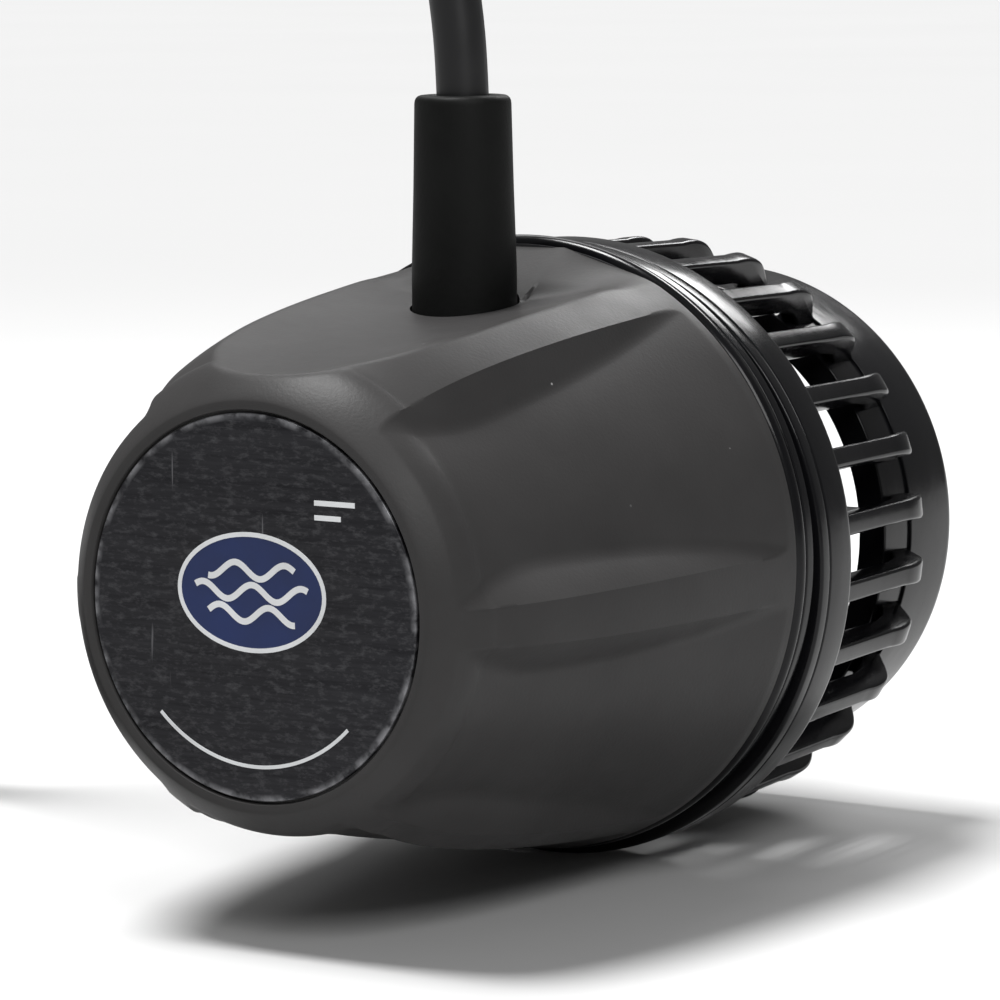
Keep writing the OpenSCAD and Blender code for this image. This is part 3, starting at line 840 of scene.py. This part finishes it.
def make_carrier():
    y0, y1, r = CARRIER_LOW.y, CARRIER_HIGH.y, CARRIER_HIGH.x
    outline = eased([(SHAFT_R, y0), (r, y0, 0.8), (r, y1 - 2.6, 0.6), (r - 2.8, y1 - 0.3, 0.8),
                     (20.6, y1 - 0.3, 0.2), (20.2, y1 - 0.8, 0.2), (7.4, y1 - 0.8, 0.2),
                     (7.0, y1, 0.2), (SHAFT_R, y1)])
    carrier = lathe("carrier_disc", outline, around_y(WET_Z))
    side = eased([(6.5, y1 - 1.2), (20.9, y1 - 1.2), (20.9, y1 - 0.35, 0.3),
                  (6.5, y1 - 0.05, 0.3)])
    spokes = [thick("spoke", side, 0.55, 0.12, turned(k * 360 / SPOKES, WET_Z))
              for k in range(SPOKES)]
    boolean(carrier, "UNION", spokes)
    place(carrier, "propeller_set", "propeller_plastic", CARRIER, "magnet_carrier")


def blade(degrees):
    """A twisted blade: flat to the flow at its tip, steeper at its root, thinning outwards."""
    y0, y1 = BLADE_Y
    middle, half = (y0 + y1) / 2, (y1 - y0) / 2
    rings = []
    for i in range(13):
        s = i / 12
        radius = lerp(HUB_R - 1, BLADE_R - 0.02, s)
        lean = math.radians(lerp(22, 46, s))
        reach = half / math.cos(lean) * (1 - 0.30 * s ** 4) * (1 - 0.16 * (1 - s) ** 2)
        thickness = lerp(2.3, 1.2, s)
        ring = []
        for j in range(40):
            b = 2 * math.pi * j / 40
            along = reach * math.cos(b) * 0.999
            off = thickness / 2 * math.copysign(abs(math.sin(b)) ** 0.6, math.sin(b))
            y = middle + along * math.cos(lean) + off * math.sin(lean) * 0.6
            around = (along * math.sin(lean) - off * math.cos(lean)) / radius
            a = math.radians(degrees) - around
            ring.append((radius * math.sin(a), min(max(y, y0), y1), WET_Z + radius * math.cos(a)))
        rings.append(ring)
    return skin("blade", rings, capped=True)


def make_propeller():
    y0, y1 = PROPELLER_LOW.y, PROPELLER_HIGH.y
    outline = eased([(SHAFT_R, y0), (HUB_R, y0), (HUB_R, 25.5, 2), (4.4, 28.8, 1.5),
                     (3.2, y1, 0.5), (SHAFT_R, y1)])
    propeller = lathe("screw", outline, around_y(WET_Z), 96)
    boolean(propeller, "UNION", [blade(k * 360 / BLADES) for k in range(BLADES)])
    place(propeller, "propeller_set", "propeller_plastic", CARRIER, "propeller")


make_carrier()
make_propeller()

# ---- cage ---------------------------------------------------------------------------

RIBS = 28
RIB_HALF = 1.1
RIB_ROOT = (28.9, 32.0)
RIB_END_Y = 31.2
RING_IN = 23.8
RING_OUT = RING_HIGH.x
RING_STEP = 0.3
TWIST = 15
FLANGE_IN = WALL_OUT + 0.1


def make_flange():
    y0, y1 = FLANGE_LOW.y, FLANGE_HIGH.y
    groove_r, groove_y0, groove_y1 = LUG_R + 0.2, LUG_Y[0] - 0.2, LUG_Y[1] + 0.2
    outline = eased([(FLANGE_IN, y0), (WET_R, y0, 0.35), (WET_R, y1, 0.9), (FLANGE_IN, y1, 0.3),
                     (FLANGE_IN, groove_y1), (groove_r, groove_y1), (groove_r, groove_y0),
                     (FLANGE_IN, groove_y0)])
    flange = lathe("cage_band", outline, around_y(WET_Z))
    slots = [sector(k * 90 - TWIST, LUG_WIDTH + 1, FLANGE_IN - 1, groove_r, y0 - 1,
                    groove_y0 + 0.3, WET_Z) for k in range(4)]
    boolean(flange, "DIFFERENCE", slots)
    place(flange, "cage", "gloss_black", GLOSS, "cage_flange")


def rib_outline():
    """Side view of a bar in (radius, y): straight, a knuckle, then down to the ring."""
    top = [bezier((31.55, 21.5), (32.0, 26.6), (31.0, 27.4), (RING_OUT - RING_STEP, RIB_END_Y),
                  k / 14) for k in range(15)]
    root_in, root_out = RIB_ROOT
    y0 = FLANGE_HIGH.y - 0.3
    return [(root_in, y0), (root_out - 0.1, y0), (31.8, 12), *top,
            (RING_OUT - RING_STEP - 0.2, RIB_END_Y), (RING_OUT - RING_STEP - 0.2, 27.2),
            (27.6, 26.0), (28.4, 24.6), (28.8, 22)]


def rib(k):
    """One bar, a little wider at its knuckle."""
    at = turned((k + 0.5) * 360 / RIBS, WET_Z)

    def widened(radius, y, across):
        return at(radius, y, across * (1 + 0.2 * math.exp(-((y - 26.3) / 2.2) ** 2)))
    return thick("bar", rib_outline(), RIB_HALF, 0.42, widened)


def make_outlet():
    y0, y1, edge_y = RING_LOW.y, RING_HIGH.y, RIB_END_Y
    step_r = RING_OUT - RING_STEP
    outline = eased([(RING_IN, y0, 0.3), (step_r, y0, 0.3), (step_r, edge_y),
                     (RING_OUT, edge_y, 0.15), (RING_OUT, y1, 1.6), (RING_IN, y1, 0.6)], 7)
    ring = lathe("outlet_tube", outline, around_y(WET_Z))
    place(ring, "cage", "gloss_black", GLOSS, "outlet_ring")


def make_spider():
    y0, y1 = SPIDER_LOW.y, SPIDER_HIGH.y
    outline = eased([(0, y0), (HUB_R, y0, 0.3), (HUB_R, y1, 2.6), (0, y1)], 8)
    hub = lathe("hub", outline, around_y(WET_Z), 96)
    side = eased([(4, y0), (RING_IN - 0.01, y0), (RING_IN - 0.01, y0 + 5), (9, y0 + 5, 4),
                  (4, y0 + 4.4)])
    vanes = [thick("vane", side, 1.0, 0.3, turned(k * 90, WET_Z)) for k in range(4)]
    boolean(hub, "UNION", vanes)
    boolean(hub, "DIFFERENCE", [rod(0, WET_Z, BUSH_R, y0 - 1, 38)])
    hub.name = "outlet_vanes"
    place(hub, "cage", "gloss_black", GLOSS, "outlet_spider")


make_flange()
place(join("cage_bars", [rib(k) for k in range(RIBS)]), "cage", "gloss_black", GLOSS, "cage_ribs")
make_outlet()
make_spider()

# ---- carried-over CAD nodes ---------------------------------------------------------

FINISH = {
    "cover_gasket": PAD, "dry_pads": PAD, "wet_pads": PAD,
    "cover_screws": STEEL, "tube_screws": STEEL, "shaft_clip": STEEL, "rotor_shaft": STEEL,
    "rear_bearing": STEEL, "front_bearing": STEEL, "rotor_bell": STEEL, "drive_disc": STEEL,
    "carrier_plate": STEEL, "propeller_nut": STEEL,
    "bell_magnets": NICKEL, "drive_magnets": NICKEL, "carrier_magnets": NICKEL,
    "connector_sleeve": NICKEL, "connector_pins": GOLD,
    "connector_relief": CONNECTOR, "connector_body": CONNECTOR,
    "bearing_tube": ALLOY, "stator_core": IRON, "stator_windings": COPPER,
    "circuit_board": BOARD, "board_parts": CHIP, "motor_leads": LEAD,
    "rear_bushing": CERAMIC, "thrust_washer": CERAMIC, "front_bushing": CERAMIC,
    "propeller_shaft": CERAMIC,
}
for name, material in FINISH.items():
    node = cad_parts[name]
    node.data.materials.clear()
    node.data.materials.append(material)

# ---- floor and light ----------------------------------------------------------------

FLOOR_HALF = 15000
FLOOR_DROP = 0.05
WORLD_STRENGTH = 0.2
SUN_STRENGTH = 5.2
SUN_WIDTH = 20                        # degrees across
SUN_TILT = (4, -14)                   # degrees about X and Y
AREA_LIGHTS = [                       # name, place, aim, size, watts
    ("behind", (-200, 330, 390), (0, -10, 10), (460, 180), 0.9),
    ("rim", (-20, 440, 330), (10, 10, 20), (170, 110), 0.8),
    ("front", (330, -300, 330), (0, -30, 0), (220, 220), 1.3),
]


def make_floor():
    """A plain pale floor under the lowest piece."""
    corners = [(-FLOOR_HALF, -FLOOR_HALF), (FLOOR_HALF, -FLOOR_HALF),
               (FLOOR_HALF, FLOOR_HALF), (-FLOOR_HALF, FLOOR_HALF)]
    points = [(x, y, FLOOR_Z - FLOOR_DROP) for x, y in corners]
    floor = make_object("floor", points, [(0, 1, 2, 3)])
    s = Shader("floor")
    s.set(Base_Color=s.mix(s.noise(3), (0.50, 0.50, 0.50), (0.52, 0.52, 0.52)), Roughness=0.9,
          Specular_IOR_Level=0.1)
    floor.data.materials.append(s.material)


def area_light(name, where, aim, size, power):
    light = bpy.data.lights.new(name, "AREA")
    light.shape = "RECTANGLE"
    light.size, light.size_y = (side * MM for side in size)
    light.energy = power
    obj = bpy.data.objects.new(name, light)
    bpy.context.scene.collection.objects.link(obj)
    obj.location = Vector(where) * MM
    toward = Vector(where) - Vector(aim)
    obj.rotation_euler = toward.to_track_quat("Z", "Y").to_euler()


def add_lights():
    """A broad light from above, two from behind for the highlights and one for the front."""
    scene = bpy.context.scene
    scene.view_settings.view_transform = "Standard"
    scene.world = bpy.data.worlds.new("studio")
    scene.world.use_nodes = True
    background = scene.world.node_tree.nodes["Background"]
    background.inputs["Color"].default_value = (1, 1, 1, 1)
    background.inputs["Strength"].default_value = WORLD_STRENGTH
    sun = bpy.data.lights.new("overhead", "SUN")
    sun.energy = SUN_STRENGTH
    sun.angle = math.radians(SUN_WIDTH)
    obj = bpy.data.objects.new("overhead", sun)
    scene.collection.objects.link(obj)
    obj.rotation_euler = (math.radians(SUN_TILT[0]), math.radians(SUN_TILT[1]), 0)
    for light in AREA_LIGHTS:
        area_light(*light)


make_floor()
add_lights()
bpy.context.view_layer.update()
